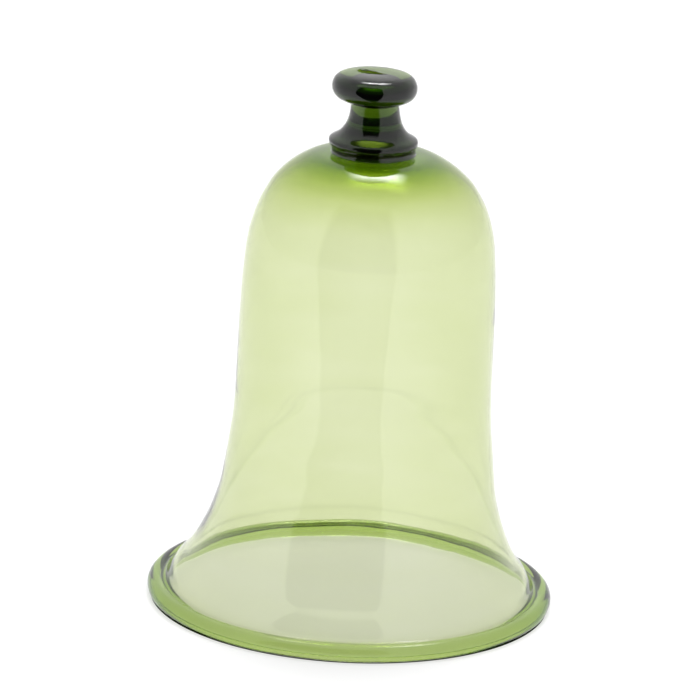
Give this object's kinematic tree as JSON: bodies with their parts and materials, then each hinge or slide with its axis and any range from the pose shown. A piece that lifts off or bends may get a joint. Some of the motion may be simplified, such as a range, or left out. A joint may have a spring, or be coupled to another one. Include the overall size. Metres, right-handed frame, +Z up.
{
  "type": "glass garden cloche",
  "caption": "Hand-blown green glass bell cloche with a flared, beaded rim and a solid mushroom knob; covers a young plant or pot.",
  "frame": {"origin": "on the bell's axis, at the level of the ground face under the rim bead", "axes": "+Z up along the bell's axis, towards the knob; the part is round about Z"},
  "size_m": [0.2799, 0.28, 0.3758],
  "materials": {
    "bell_glass": "fire-polished clear green glass, thin wall, deeper green at the crown",
    "bead_glass": "fire-polished clear green glass, solid round bead",
    "knob_glass": "fire-polished solid green glass, near black where thick",
    "punty_glass": "rough torn folds of green glass"
  },
  "bodies": {
    "root": {"bell": "bell_glass", "rim_bead": "bead_glass", "crown_ring": "knob_glass", "knob_stem": "knob_glass", "knob_head": "knob_glass", "punty_mark": "punty_glass"}
  },
  "joints": []
}
